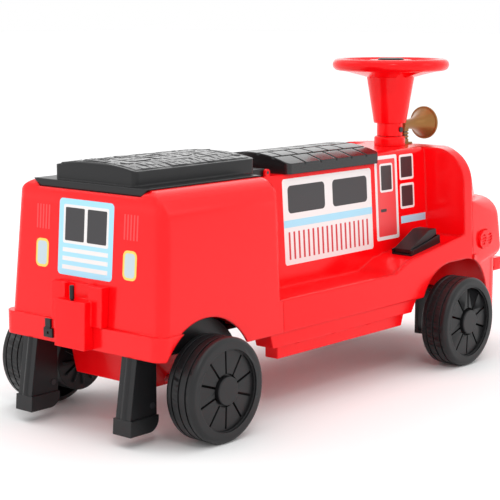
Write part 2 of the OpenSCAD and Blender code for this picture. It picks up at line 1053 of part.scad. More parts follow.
// One stepped rail under the edge of a footboard
module side_rail(side) {
  x_low_rear = x_rail_rear + rail_rear_slope + rail_low_in;
  x_low_front = x_rail_front - rail_front_slope - rail_low_front_in;
  color(red)
    mirror([0, side > 0 ? 0 : 1, 0]) {
      across_y(rail_y - rail_w, rail_y)
        polygon([
          [x_rail_rear, skirt_z], [x_rail_front, skirt_z],
          [x_rail_front - rail_front_slope, rail_step_z], [x_rail_rear + rail_rear_slope, rail_step_z]
        ]);
      across_y(rail_y - rail_w, rail_y - rail_step)
        polygon([
          [x_low_rear, rail_step_z], [x_low_front, rail_step_z],
          [x_low_front - rail_rear_slope, rail_step_z - rail_low_h], [x_low_rear, rail_step_z - rail_low_h]
        ]);
    }
}

module side_rail_left() { side_rail(1); }
module side_rail_right() { side_rail(-1); }

// Bin under the seat, with a rib that keeps the battery at the back
battery_l = 64;
battery_h = 94;
battery_gap = 0.5;
module storage_bin() {
  bay_l = battery_l + 2 * battery_gap;
  color(black)
    difference() {
      union() {
        translate([x_bin, -bin_w / 2, bin_floor_z])
          cube([bin_l, bin_w, bin_depth]);
        translate([x_bin - bin_rim, -bin_w / 2 - bin_rim, channel_z - bin_rim_t])
          cube([bin_l + 2 * bin_rim, bin_w + 2 * bin_rim, bin_rim_t]);
      }
      translate([x_bin + bin_wall, bin_wall - bin_w / 2, bin_floor_z + bin_wall])
        cube([bay_l, bin_w - 2 * bin_wall, bin_depth]);
      translate([x_bin + 2 * bin_wall + bay_l, bin_wall - bin_w / 2, bin_floor_z + bin_wall])
        cube([bin_l - 3 * bin_wall - bay_l, bin_w - 2 * bin_wall, bin_depth]);
      translate([x_bin + bin_wall, bin_wall - bin_w / 2, bin_floor_z + bin_rib_h])
        cube([bin_l - 2 * bin_wall, bin_w - 2 * bin_wall, bin_depth]);
    }
}

// Sealed battery at the back of the bin
module battery() {
  half = bin_w / 2 - bin_wall - battery_gap;
  terminal_w = 5;
  terminal_t = 1;
  terminal_h = 6;
  color("#3b3d44") {
    translate([x_bin + bin_wall + battery_gap, -half, bin_floor_z + bin_wall])
      cube([battery_l, 2 * half, battery_h]);
    for (side = [-1, 1])
      translate([
        x_bin + bin_wall + battery_gap + battery_l / 2, side * half / 2, bin_floor_z + bin_wall + battery_h
      ])
        cube([terminal_w, terminal_t, terminal_h]);
  }
}

// Gearbox on the left end of the axle, ribbed on its inner face
gear_case_r = 46;
gear_rib_n = 12;
gear_rib_t = 3;
gear_rib_h = 3.5;
motor_r = 18;
motor_l = 56;
motor_nub_r = 6;
motor_nub_l = 6;
motor_case_r = 23;
motor_ahead = 52;
motor_up = 20;
gear_rib_l = norm([motor_ahead, motor_up]) - motor_r - overrun;
gear_gap = 1.5;
gear_clear = 4;
gear_y = housing_half + housing_flare + gear_gap + gear_rib_h;
gear_case_w = wheel_back - gear_y - gear_clear;
module gearbox() {
  x_motor = x_rear_axle + motor_ahead;
  z_motor = axle_z + motor_up;
  color(black)
    difference() {
      union() {
        across_y(gear_y, gear_y + gear_case_w) {
          translate([x_rear_axle, axle_z])
            circle(r = gear_case_r);
          translate([x_motor, z_motor])
            circle(r = motor_case_r);
          polygon([
            [x_rear_axle, axle_z - gear_case_r], [x_motor, z_motor - motor_case_r],
            [x_motor, skirt_z], [x_rear_axle, skirt_z]
          ]);
        }
        across_y(gear_y - gear_rib_h, gear_y)
          translate([x_rear_axle, axle_z])
            for (k = [0 : gear_rib_n - 1])
              rotate([0, 0, k * 360 / gear_rib_n])
                translate([0, -gear_rib_t / 2])
                  square([gear_rib_l, gear_rib_t]);
      }
      bar_y(x_rear_axle, axle_z, 0, body_w, axle_r + running_gap);
    }
}

// Motor beside the gearbox
module motor() {
  y_end = gear_y - motor_l;
  color(steel) {
    bar_y(x_rear_axle + motor_ahead, axle_z + motor_up, y_end, gear_y, motor_r);
    bar_y(x_rear_axle + motor_ahead, axle_z + motor_up, y_end - motor_nub_l, y_end, motor_nub_r);
  }
}

// Fixed rear axle, on which both rear wheels turn
cap_t = 9;
cap_in = 9;
axle_end_gap = 1;
module rear_axle() {
  end_y = wheel_face - cap_in - axle_end_gap;
  color(steel)
    bar_y(x_rear_axle, axle_z, -end_y, end_y, axle_r);
}

// One tapering leg with a stepped foot, behind a rear wheel
module rear_leg(side) {
  foot_top = foot_clear + foot_h;
  x_toe = x_foot + foot_l;
  x_post_rear = x_foot + leg_in;
  x_post_front = x_toe - leg_front_in;
  color(black)
    translate([0, side * leg_y, 0]) {
      // Foot, round under its toe
      across_y(-leg_w / 2, leg_w / 2) {
        polygon([
          [x_foot, foot_clear], [x_toe - foot_toe_r, foot_clear],
          [x_toe - foot_toe_r, foot_clear + foot_toe_r], [x_toe, foot_clear + foot_toe_r],
          [x_toe, foot_top], [x_foot + leg_in / 2, foot_top]
        ]);
        intersection() {
          translate([x_toe - foot_toe_r, foot_clear + foot_toe_r])
            circle(r = foot_toe_r);
          translate([x_toe - foot_toe_r, foot_clear])
            square([foot_toe_r, foot_toe_r]);
        }
      }
      // Post, leaning in towards its top
      across_y(leg_in - leg_w / 2, leg_w / 2 - leg_in)
        polygon([
          [x_post_rear, foot_top], [x_post_front, foot_top],
          [x_post_front, skirt_z], [x_post_rear + leg_rear_lean, skirt_z]
        ]);
      leg_rib(foot_top);
    }
}

// Round rib up the back of a leg
module leg_rib(z_low) {
  rise = skirt_z - z_low;
  intersection() {
    translate([x_foot + leg_in + leg_rib_r - leg_rib_out, 0, z_low])
      rotate([0, atan2(leg_rear_lean, rise), 0])
        translate([0, 0, -rise])
          cylinder(r = leg_rib_r, h = 3 * rise);
    translate([x_foot, -leg_w, z_low])
      cube([foot_l / 2 + leg_rear_lean, 2 * leg_w, rise]);
  }
}

module rear_leg_left() { rear_leg(1); }
module rear_leg_right() { rear_leg(-1); }

// Screw in the side of each leg
module leg_screws() {
  x_screw = x_foot + foot_l - leg_front_in - leg_screw_in;
  color(steel)
    for (side = [-1, 1]) {
      y_face = side * leg_y - leg_w / 2 + leg_in;
      bar_y(x_screw, foot_clear + foot_h + leg_screw_up, y_face - screw_head_t, y_face, screw_head_r);
    }
}

// Screws that hold the rails to the body
module rail_screws() {
  color(steel)
    for (side = [-1, 1], k = [0 : rail_screw_n - 1])
      translate([rail_screw_x(k), side * rail_screw_y, rail_step_z - screw_head_t])
        cylinder(r = screw_head_r, h = screw_head_t);
}

// Seat: flared flange, crowned block and a front tongue with a hinge bore
module seat_lid() {
  crown_r = (seat_w * seat_w / 4 + seat_crown * seat_crown) / (2 * seat_crown);
  top_z = block_z + seat_h + seat_crown;
  edge_r = 8;
  shell_t = 5;
  color(black)
    difference() {
      union() {
        along_x(x_seat, x_flange_front)
          polygon([
            [-flange_w / 2, flange_z], [flange_w / 2, flange_z],
            [flange_w / 2 + flare_share * flange_t, block_z],
            [-flange_w / 2 - flare_share * flange_t, block_z]
          ]);
        translate([x_flange_front - overrun, -tongue_w / 2, flange_z])
          cube([x_hinge - x_flange_front + overrun, tongue_w, flange_t]);
        bar_y(x_hinge, z_hinge, -tongue_w / 2, tongue_w / 2, flange_t / 2);
        intersection() {
          translate([0, 0, block_z - overrun])
            linear_extrude(seat_h + seat_crown + overrun)
              round_rect(x_block, x_block + seat_l, -seat_w / 2, seat_w / 2, edge_r);
          along_x(x_seat, x_tongue_front)
            translate([0, top_z - crown_r])
              circle(r = crown_r);
          across_y(-seat_w, seat_w)
            round_rect(x_block, x_block + seat_l, flange_z, top_z, edge_r / 2);
        }
      }
      // Hollow underside, over the bin
      translate([x_bin, -bin_w / 2, flange_z - overrun])
        cube([bin_l, bin_w, block_z + seat_h - shell_t - flange_z + overrun]);
      bar_y(x_hinge, z_hinge, -flange_w, flange_w, hinge_r + running_gap);
    }
}

// Steel pin of the seat hinge, held in two ears on the tunnel
module seat_hinge_pin() {
  end_y = tongue_w / 2 + ear_gap + ear_t;
  color(steel)
    bar_y(x_hinge, z_hinge, -end_y, end_y, hinge_r);
}

// Black cover with a brick pattern, crowned across its width
module mid_cover() {
  centre_z = cover_top_z - cover_crown_r;
  row_w = cover_w / brick_rows;
  brick_l = cover_l / bricks_per_row;
  edge_r = 9;
  color(black)
    difference() {
      intersection() {
        translate([0, 0, channel_z])
          linear_extrude(cover_edge_h + cover_crown)
            round_rect(x_cover_rear, x_cover_front, -cover_w / 2, cover_w / 2, edge_r);
        along_x(x_cover_rear, x_cover_front)
          translate([0, centre_z])
            circle(r = cover_crown_r);
      }
      // Joints of the brick pattern
      difference() {
        union() {
          for (row = [1 : brick_rows - 1])
            translate([x_cover_rear, row * row_w - cover_w / 2 - mortar_w / 2, channel_z])
              cube([cover_l, mortar_w, cover_edge_h + cover_crown + overrun]);
          for (row = [0 : brick_rows - 1], k = [1 : bricks_per_row - 1])
            translate([
              x_cover_rear + (k - (row % 2) / 2) * brick_l,
              row * row_w - cover_w / 2, channel_z
            ])
              cube([mortar_w, row_w, cover_edge_h + cover_crown + overrun]);
        }
        along_x(x_cover_rear - overrun, x_cover_front + overrun)
          translate([0, centre_z])
            circle(r = cover_crown_r - mortar_depth);
      }
      // Hollow underside
      translate([x_cover_rear + 2 * cover_wall, 3 * cover_wall - cover_w / 2, channel_z - overrun])
        cube([cover_l - 4 * cover_wall, cover_w - 6 * cover_wall, cover_edge_h - cover_wall + overrun]);
    }
}

// Cradle under the cab: two forks for the knuckles and a bearing for the column
module front_cradle() {
  x0 = x_front_axle - beam_half_l;
  color(black)
    difference() {
      union() {
        for (z = [fork_low_z, fork_high_z])
          translate([0, 0, z])
            linear_extrude(fork_t)
              fork_plan(z == fork_high_z);
        translate([x0, -beam_half, fork_high_z - beam_h])
          cube([2 * beam_half_l, 2 * beam_half, beam_h + fork_t]);
        // Webs down to the lower forks
        for (side = [-1, 1])
          translate([x0, side * (beam_half - web_t / 2) - web_t / 2, fork_low_z])
            cube([2 * beam_half_l, web_t, fork_high_z - fork_low_z]);
        translate([x_column, 0, fork_high_z])
          cylinder(r = shaft_bush, h = 4 * fork_t);
      }
      // The beam is open below
      translate([x0 + wall, web_t - beam_half, fork_high_z - beam_h - overrun])
        cube([2 * (beam_half_l - wall), 2 * (beam_half - web_t), beam_h + overrun - wall]);
      for (side = [-1, 1]) {
        translate([x_front_axle, side * kingpin_y, fork_low_z - overrun])
          cylinder(r = kingpin_r, h = fork_high_z);
        for (end = [-1, 1])
          translate([x_front_axle + end * boss_spread, side * boss_y, fork_high_z - wall])
            cylinder(r = screw_r, h = fork_t + wall + overrun);
      }
      translate([x_column, 0, fork_low_z])
        cylinder(r = shaft_r + running_gap, h = fork_high_z);
    }
}

// Fork plates in plan, with the column's tongue on the upper one
module fork_plan(with_tongue) {
  for (side = [-1, 1]) {
    translate([x_front_axle, side * kingpin_y])
      circle(r = fork_r);
    polygon([
      [x_front_axle - beam_half_l, side * beam_half], [x_front_axle - fork_r, side * kingpin_y],
      [x_front_axle + fork_r, side * kingpin_y], [x_front_axle + beam_half_l, side * beam_half]
    ]);
  }
  if (with_tongue) {
    translate([x_front_axle, -shaft_bush])
      square([column_ahead, 2 * shaft_bush]);
    translate([x_column, 0])
      circle(r = shaft_bush);
  }
}

// Pin on which a knuckle turns
module kingpin(side) {
  color(steel)
    translate([x_front_axle, side * kingpin_y, fork_low_z])
      cylinder(r = kingpin_r, h = fork_high_z + fork_t - fork_low_z);
}

module kingpin_left() { kingpin(1); }
module kingpin_right() { kingpin(-1); }

// Steering knuckle with its arm and the seat of the stub axle
stub_in = 6.5;
stub_boss_r = 10;
stub_gap = 1;
module knuckle(side) {
  low_z = fork_low_z + fork_t + seat_gap;
  high_z = fork_high_z - seat_gap;
  boss_end = wheel_back - stub_gap;
  color(black)
    difference() {
      union() {
        translate([x_front_axle, side * kingpin_y, low_z])
          cylinder(r = knuckle_r, h = high_z - low_z);
        bar_y(
          x_front_axle, axle_z,
          side > 0 ? kingpin_y : -boss_end, side > 0 ? boss_end : -kingpin_y, stub_boss_r
        );
        translate([0, 0, arm_z])
          linear_extrude(arm_t) {
            translate([x_front_axle, side * kingpin_y - arm_r])
              square([arm_l, 2 * arm_r]);
            translate([x_link, side * kingpin_y])
              circle(r = arm_r);
          }
        translate([x_link, side * kingpin_y, arm_z])
          cylinder(r = link_pin_r, h = arm_t + tie_t + 2 * seat_gap);
      }
      translate([x_front_axle, side * kingpin_y, 0])
        cylinder(r = kingpin_r + running_gap, h = roof_z);
      bar_y(
        x_front_axle, axle_z,
        side > 0 ? kingpin_y + stub_in : -body_w, side > 0 ? body_w : -kingpin_y - stub_in, axle_r
      );
    }
}

module knuckle_left() { knuckle(1); }
module knuckle_right() { knuckle(-1); }

// Stub axle of a front wheel
module stub_axle(side) {
  inner = kingpin_y + stub_in;
  outer = wheel_face - cap_in - axle_end_gap;
  color(steel)
    bar_y(x_front_axle, axle_z, side > 0 ? inner : -outer, side > 0 ? outer : -inner, axle_r);
}

module stub_axle_left() { stub_axle(1); }
module stub_axle_right() { stub_axle(-1); }

// Tie rod between the arms, with a tongue to the column's crank
module tie_rod() {
  color(steel)
    translate([0, 0, tie_z])
      linear_extrude(tie_t)
        difference() {
          union() {
            for (side = [-1, 1])
              translate([x_link, side * kingpin_y])
                circle(r = arm_r);
            translate([x_link - arm_r, -kingpin_y])
              square([2 * arm_r, kingpin_span]);
            translate([x_link, -arm_r])
              square([x_crank - x_link, 2 * arm_r]);
            translate([x_crank, 0])
              circle(r = arm_r);
          }
          for (side = [-1, 1])
            translate([x_link, side * kingpin_y])
              circle(r = link_pin_r + running_gap);
          translate([x_crank, 0])
            circle(r = link_pin_r + seat_gap);
        }
}

// Steering column with its crank
module steering_shaft() {
  color(steel) {
    translate([x_column, 0, crank_z])
      cylinder(r = shaft_r, h = cone_z + shaft_grip - crank_z);
    translate([0, 0, crank_z])
      linear_extrude(crank_t) {
        translate([x_column, 0])
          circle(r = shaft_r + overrun);
        translate([x_column, -arm_r])
          square([arm_l, 2 * arm_r]);
        translate([x_crank, 0])
          circle(r = arm_r);
      }
    translate([x_crank, 0, tie_z - seat_gap])
      cylinder(r = link_pin_r, h = crank_z - tie_z + 2 * seat_gap);
  }
}

// Ring on the roof that guides the column
module roof_collar() {
  edge_r = 4;
  color(red)
    translate([x_column, 0, roof_z])
      rotate_extrude()
        difference() {
          union() {
            square([collar_r, collar_h - edge_r]);
            square([collar_r - edge_r, collar_h]);
            translate([collar_r - edge_r, collar_h - edge_r])
              circle(r = edge_r);
          }
          translate([-overrun, -overrun])
            square([shaft_r + running_gap + overrun, collar_h + 2 * overrun]);
        }
}

// Steering wheel: rim, spokes, cone and neck in one moulding
module steering_wheel() {
  button_z = hub_top_z + button_proud - button_h;
  recess_r = button_r + seat_gap;
  color(red)
    difference() {
      union() {
        translate([x_column, 0, steering_z])
          rotate_extrude()
            translate([steering_r, 0])
              circle(r = rim_t / 2);
        translate([x_column, 0, 0])
          rotate_extrude()
            polygon([
              [0, neck_z], [neck_r, neck_z], [neck_r, cone_z], [cone_low_r, cone_z],
              [cone_top_r, hub_z], [cone_top_r, steering_z], [hub_top_r, hub_top_z], [0, hub_top_z]
            ]);
        for (k = [0 : spoke_n - 1])
          translate([x_column, 0, steering_z - spoke_t / 2])
            rotate([0, 0, k * 360 / spoke_n + 180])
              translate([0, -spoke_w / 2, 0])
                cube([steering_r, spoke_w, spoke_t]);
      }
      translate([x_column, 0, 0])
        cylinder(r = shaft_r, h = cone_z + shaft_grip);
      translate([x_column, 0, button_z - button_travel - seat_gap])
        cylinder(r = recess_r, h = roof_z);
      bar_y(x_column, cone_z - neck_h / 2, -neck_r - overrun, 0, bolt_r);
    }
}

// Bolt that locks the wheel to its column
module steering_bolt() {
  z = cone_z - neck_h / 2;
  color(steel) {
    bar_y(x_column, z, -neck_r, -shaft_r, bolt_r);
    bar_y(x_column, z, -neck_r - bolt_head_t, -neck_r, bolt_head_r);
  }
}

// Push button in the middle of the steering wheel
module horn_button() {
  edge_r = 3;
  color(black)
    translate([x_column, 0, hub_top_z + button_proud - button_h])
      rotate_extrude() {
        square([button_r, button_h - edge_r]);
        square([button_r - edge_r, button_h]);
        intersection() {
          translate([button_r - edge_r, button_h - edge_r])
            circle(r = edge_r);
          square([button_r, button_h]);
        }
      }
}

// Radius of the horn at a share of its length from the throat
function horn_r(share) = throat_r + (horn_d / 2 - throat_r) * pow(share, horn_flare_share);

// Trumpet horn on the roof, hollow from its mouth
module horn_bell() {
  outer = [for (k = [0 : horn_steps]) [horn_r(k / horn_steps), horn_l * k / horn_steps]];
  inner = [for (k = [horn_steps : -1 : 1]) [horn_r(k / horn_steps) - horn_wall, horn_l * k / horn_steps]];
  color(bronze)
    translate([x_throat, 0, horn_z])
      rotate([0, 90, 0]) {
        rotate_extrude()
          polygon(concat([[0, 0]], outer, inner, [[0, horn_l / horn_steps]]));
        // Rolled lip and the closed tail
        translate([0, 0, horn_l - horn_wall])
          rotate_extrude()
            translate([horn_d / 2 - horn_wall, 0])
              circle(r = horn_wall);
        translate([0, 0, -horn_tail])
          cylinder(r = throat_r, h = horn_tail);
      }
}

// Bracket that holds the horn over the roof
module horn_bracket() {
  x_post = x_throat - horn_tail;
  rib_n = 3;
  rib_t = 2;
  post_h = horn_z - roof_z;
  color(bronze)
    difference() {
      union() {
        translate([x_post, -horn_post_w / 2, roof_z])
          cube([horn_post_l, horn_post_w, post_h]);
        translate([x_post - (horn_foot_l - horn_post_l) / 2, -horn_foot_w / 2, roof_z])
          cube([horn_foot_l, horn_foot_w, horn_foot_t]);
      }
      translate([x_post - overrun, 0, horn_z])
        rotate([0, 90, 0])
          cylinder(r = throat_r, h = horn_post_l + 2 * overrun);
      for (k = [1 : rib_n])
        translate([x_post - overrun, -horn_post_w, roof_z + horn_foot_t + k * post_h / (rib_n + 3)])
          cube([horn_post_l + 2 * overrun, horn_post_w - rib_t, rib_t]);
    }
}

// Places its children on the right footboard, X up the slope
module on_footboard() {
  translate([x_pedal, pedal_y, z_pedal])
    rotate([0, -pedal_tilt, 0])
      children();
}

// Tray that holds the pedal
module pedal_base() {
  half = pedal_w / 2;
  color(black)
    on_footboard()
      difference() {
        across_y(-half, half)
          polygon([
            [0, 0], [pedal_l, 0], [pedal_l, tray_front_h], [2 * pedal_pin_in, tray_rear_h], [0, tray_rear_h]
          ]);
        across_y(tray_wall - half, half - tray_wall)
          polygon([
            [-overrun, tray_floor], [pedal_l - tray_wall, tray_floor],
            [pedal_l - tray_wall, pedal_h], [-overrun, pedal_h]
          ]);
        bar_y(pedal_pin_in, pedal_pin_up, -pedal_w, pedal_w, pedal_pin_r);
      }
}

// Pedal, a hollow wedge on a pin at its heel
module pedal() {
  half = pedal_w / 2 - tray_wall - pedal_side_gap;
  x_end = pedal_l - tray_wall - pedal_front_gap;
  heel = pedal_pin_in - 2 * pedal_pin_r;
  heel_low = pedal_pin_up - pedal_pin_r - overrun / 2;
  heel_top = pedal_pin_up + 2 * pedal_pin_r;
  toe_low = heel_low + pedal_lift;
  color(black)
    on_footboard()
      difference() {
        across_y(-half, half)
          polygon([
            [heel, heel_low], [pedal_pin_in + pedal_pin_r, heel_low], [x_end, toe_low],
            [x_end, pedal_h - pedal_skin], [x_end - pedal_nose_l, pedal_h], [heel, heel_top]
          ]);
        across_y(pedal_skin - half, half - pedal_skin)
          polygon([
            [2 * pedal_pin_in, heel_low - overrun], [x_end - pedal_skin, toe_low - overrun],
            [x_end - pedal_skin, pedal_h - 2 * pedal_skin], [x_end - pedal_nose_l, pedal_h - pedal_skin],
            [2 * pedal_pin_in, heel_top]
          ]);
        bar_y(pedal_pin_in, pedal_pin_up, -pedal_w, pedal_w, pedal_pin_r + running_gap);
      }
}

// Pin of the pedal
module pedal_pin() {
  color(steel)
    on_footboard()
      bar_y(pedal_pin_in, pedal_pin_up, -pedal_w / 2, pedal_w / 2, pedal_pin_r);
}

// Switch under the pedal
module pedal_switch() {
  plunger_r = 2;
  plunger_h = 2.5;
  color("#4a4c50")
    on_footboard() {
      translate([switch_in, -switch_w / 2, tray_floor])
        cube([switch_l, switch_w, switch_h]);
      translate([switch_in + switch_l / 2, 0, tray_floor + switch_h])
        cylinder(r = plunger_r, h = plunger_h);
    }
}

// Wheel in section: radius, then distance from its inner face
shoulder_r = 7;
rib_depth = 2.5;
rib_gap = 2.6;
tyre_t = 8;
disc_t = 5;
dish_rim = 6;
dish_hub = 5;
hub_r = 14;
moat = 3;
slot_w = 3.2;
module wheel_section() {
  tyre_r = wheel_d / 2;
  lip_y = wheel_w - dish_rim;
  hub_y = wheel_w - dish_hub;
  moat_r = hub_cap_d / 2 + moat;
  difference() {
    union() {
      square([tyre_r - shoulder_r, wheel_w]);
      translate([0, shoulder_r])
        square([tyre_r, wheel_w - 2 * shoulder_r]);
      for (y = [shoulder_r, wheel_w - shoulder_r])
        translate([tyre_r - shoulder_r, y])
          circle(r = shoulder_r);
    }
    // Tread grooves
    for (k = [1 : groove_count])
      translate([tyre_r - rib_depth, k * wheel_w / (groove_count + 1) - rib_gap / 2])
        square([rib_depth + overrun, rib_gap]);
    // Dished outer face
    polygon([
      [0, wheel_w - cap_in], [moat_r, wheel_w - cap_in], [moat_r, hub_y], [rim_d / 2 - moat, lip_y],
      [rim_d / 2, lip_y], [rim_d / 2, wheel_w + overrun], [0, wheel_w + overrun]
    ]);
    // Hollow inner side
    polygon([
      [hub_r, -overrun], [tyre_r - tyre_t, -overrun], [tyre_r - tyre_t, lip_y - 2 * disc_t],
      [rim_d / 2, lip_y - disc_t], [moat_r + moat, hub_y - disc_t - moat], [hub_r, hub_y - disc_t - moat]
    ]);
    square([2 * (axle_r + running_gap), 2 * wheel_w], center = true);
  }
}

// One wheel at its place
module wheel(x, side) {
  blade_in = hub_cap_d / 2 + moat;
  blade_out = rim_d / 2 - moat;
  color(black)
    translate([x, side * wheel_back, axle_z])
      rotate([-side * 90, 0, 0])
        difference() {
          rotate_extrude()
            wheel_section();
          for (k = [0 : spoke_count - 1])
            rotate([0, 0, (k + 0.5) * 360 / spoke_count])
              translate([blade_in, -slot_w / 2, hub_r])
                cube([blade_out - blade_in, slot_w, wheel_w]);
        }
}

module rear_wheel_left() { wheel(x_rear_axle, 1); }
module rear_wheel_right() { wheel(x_rear_axle, -1); }
module front_wheel_left() { wheel(x_front_axle, 1); }
module front_wheel_right() { wheel(x_front_axle, -1); }

// Round cap over the hub
module hub_cap(x, side) {
  edge_r = 2;
  r = hub_cap_d / 2;
  color(black)
    translate([x, side * (wheel_face - cap_in), axle_z])
      rotate([-side * 90, 0, 0])
        rotate_extrude() {
          square([r, cap_t - edge_r]);
          square([r - edge_r, cap_t]);
          intersection() {
            translate([r - edge_r, cap_t - edge_r])
              circle(r = edge_r);
            square([r, cap_t]);
          }
        }
}

module rear_cap_left() { hub_cap(x_rear_axle, 1); }
module rear_cap_right() { hub_cap(x_rear_axle, -1); }
module front_cap_left() { hub_cap(x_front_axle, 1); }
module front_cap_right() { hub_cap(x_front_axle, -1); }

rear_body();
mid_body();
nose_cap();
windscreen();
front_bumper();
headlamp_left();
headlamp_right();
side_lamp_left();
side_lamp_right();
rear_coupler();
draw_pin();
charge_socket();
socket_cover();
chassis_plate();
axle_housing();
side_rail_left();
side_rail_right();
storage_bin();
battery();
gearbox();
motor();
rear_axle();
rear_leg_left();
rear_leg_right();
leg_screws();
rail_screws();
seat_lid();
seat_hinge_pin();
mid_cover();
front_cradle();
kingpin_left();
kingpin_right();
knuckle_left();
knuckle_right();
stub_axle_left();
stub_axle_right();
tie_rod();
steering_shaft();
roof_collar();
steering_wheel();
steering_bolt();
horn_button();
horn_bell();
horn_bracket();
pedal_base();
pedal();
pedal_pin();
pedal_switch();
rear_wheel_left();
rear_wheel_right();
front_wheel_left();
front_wheel_right();
rear_cap_left();
rear_cap_right();
front_cap_left();
front_cap_right();
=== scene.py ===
import math
import random
import bmesh
import bpy
from mathutils import Matrix, Vector


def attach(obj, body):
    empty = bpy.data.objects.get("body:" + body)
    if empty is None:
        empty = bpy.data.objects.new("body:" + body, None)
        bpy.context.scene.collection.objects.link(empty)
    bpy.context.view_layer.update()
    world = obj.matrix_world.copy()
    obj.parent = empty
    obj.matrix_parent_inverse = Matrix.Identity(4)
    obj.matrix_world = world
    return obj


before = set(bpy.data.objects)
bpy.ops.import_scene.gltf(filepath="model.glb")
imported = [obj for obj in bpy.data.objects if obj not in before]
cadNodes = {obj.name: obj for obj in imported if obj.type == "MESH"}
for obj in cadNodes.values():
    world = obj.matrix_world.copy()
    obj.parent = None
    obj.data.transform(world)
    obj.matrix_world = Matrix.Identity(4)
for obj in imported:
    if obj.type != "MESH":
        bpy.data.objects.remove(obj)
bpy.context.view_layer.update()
scene = bpy.context.scene
scene.view_settings.view_transform = "Standard"
mm = 0.001  # sizes below are in millimetres
print("loaded", len(cadNodes), "solids")

# materials

def linkedNode(tree, kind, place):
    made = tree.nodes.new(kind)
    made.location = place
    return made


mottlePlain = {"Scale": 400.0, "Rough Low": 0.3, "Rough High": 0.4}
mottleNoise = {"detail": 3.0, "broad": 14.0}


def makeGrainGroup():
    # soft mottle of moulded plastic, on object coordinates
    group = bpy.data.node_groups.new("mouldGrain", "ShaderNodeTree")
    sockets = group.interface
    for name, value in mottlePlain.items():
        made = sockets.new_socket(name, in_out="INPUT", socket_type="NodeSocketFloat")
        made.default_value = value
    sockets.new_socket("Roughness", in_out="OUTPUT", socket_type="NodeSocketFloat")
    sockets.new_socket("Height", in_out="OUTPUT", socket_type="NodeSocketFloat")
    given = linkedNode(group, "NodeGroupInput", (-700, 0))
    result = linkedNode(group, "NodeGroupOutput", (300, 0))
    coords = linkedNode(group, "ShaderNodeTexCoord", (-700, -250))
    noise = linkedNode(group, "ShaderNodeTexNoise", (-450, 0))
    noise.inputs["Detail"].default_value = mottleNoise["detail"]
    broad = linkedNode(group, "ShaderNodeTexNoise", (-450, -300))
    broad.inputs["Scale"].default_value = mottleNoise["broad"]
    spread = linkedNode(group, "ShaderNodeMapRange", (-150, -200))
    link = group.links.new
    link(coords.outputs["Object"], noise.inputs["Vector"])
    link(coords.outputs["Object"], broad.inputs["Vector"])
    link(given.outputs["Scale"], noise.inputs["Scale"])
    link(broad.outputs["Fac"], spread.inputs["Value"])
    link(given.outputs["Rough Low"], spread.inputs["To Min"])
    link(given.outputs["Rough High"], spread.inputs["To Max"])
    link(spread.outputs["Result"], result.inputs["Roughness"])
    link(noise.outputs["Fac"], result.inputs["Height"])
    return group


grainGroup = makeGrainGroup()
finishPlain = {"coatRough": 0.05, "edgeSamples": 6}


def makeFinish(name, colour, rough, grain=None, metallic=0.0, coat=0.0, edge=0.0, shine=0.5, upper=None):
    material = bpy.data.materials.new(name)
    material.use_nodes = True
    tree = material.node_tree
    shader = tree.nodes["Principled BSDF"]
    shader.inputs["Base Color"].default_value = (*colour, 1.0)
    shader.inputs["Roughness"].default_value = rough[0]
    shader.inputs["Metallic"].default_value = metallic
    shader.inputs["Specular IOR Level"].default_value = shine
    shader.inputs["Coat Weight"].default_value = coat
    shader.inputs["Coat Roughness"].default_value = finishPlain["coatRough"]
    soft = None
    if edge:
        soft = linkedNode(tree, "ShaderNodeBevel", (-500, -350))  # rounds the look of edges
        soft.samples = finishPlain["edgeSamples"]
        soft.inputs["Radius"].default_value = edge * mm
        tree.links.new(soft.outputs["Normal"], shader.inputs["Normal"])
    if upper:
        # edges above a height are rounder than those below it
        coords = linkedNode(tree, "ShaderNodeTexCoord", (-1100, -350))
        parts = linkedNode(tree, "ShaderNodeSeparateXYZ", (-900, -350))
        growth = linkedNode(tree, "ShaderNodeMapRange", (-700, -350))
        growth.inputs["From Min"].default_value = upper["start"] * mm
        growth.inputs["From Max"].default_value = upper["end"] * mm
        growth.inputs["To Min"].default_value = edge * mm
        growth.inputs["To Max"].default_value = upper["edge"] * mm
        tree.links.new(coords.outputs["Object"], parts.inputs["Vector"])
        tree.links.new(parts.outputs["Z"], growth.inputs["Value"])
        tree.links.new(growth.outputs["Result"], soft.inputs["Radius"])
    if grain:
        mottle = linkedNode(tree, "ShaderNodeGroup", (-500, 0))
        mottle.node_tree = grainGroup
        mottle.inputs["Scale"].default_value = grain["scale"]
        mottle.inputs["Rough Low"].default_value = rough[0]
        mottle.inputs["Rough High"].default_value = rough[1]
        bump = linkedNode(tree, "ShaderNodeBump", (-250, -250))
        bump.inputs["Strength"].default_value = grain["strength"]
        bump.inputs["Distance"].default_value = grain["depth"] * mm
        tree.links.new(mottle.outputs["Roughness"], shader.inputs["Roughness"])
        tree.links.new(mottle.outputs["Height"], bump.inputs["Height"])
        if soft:
            tree.links.new(soft.outputs["Normal"], bump.inputs["Normal"])
        tree.links.new(bump.outputs["Normal"], shader.inputs["Normal"])
    return material


redGrain = {"scale": 90.0, "strength": 0.04, "depth": 0.4}
satinGrain = {"scale": 900.0, "strength": 0.2, "depth": 0.15}
coverGrain = {"scale": 120.0, "strength": 0.06, "depth": 0.3}
wheelGrain = {"scale": 700.0, "strength": 0.2, "depth": 0.15}
steelGrain = {"scale": 600.0, "strength": 0.1, "depth": 0.05}
hornGrain = {"scale": 500.0, "strength": 0.1, "depth": 0.1}
caseGrain = {"scale": 600.0, "strength": 0.1, "depth": 0.1}
redRough = (0.16, 0.22)
printRough = (0.30, 0.30)
boxUpper = {"start": 170.0, "end": 250.0, "edge": 10.0}  # softer rim at the top of the rear box

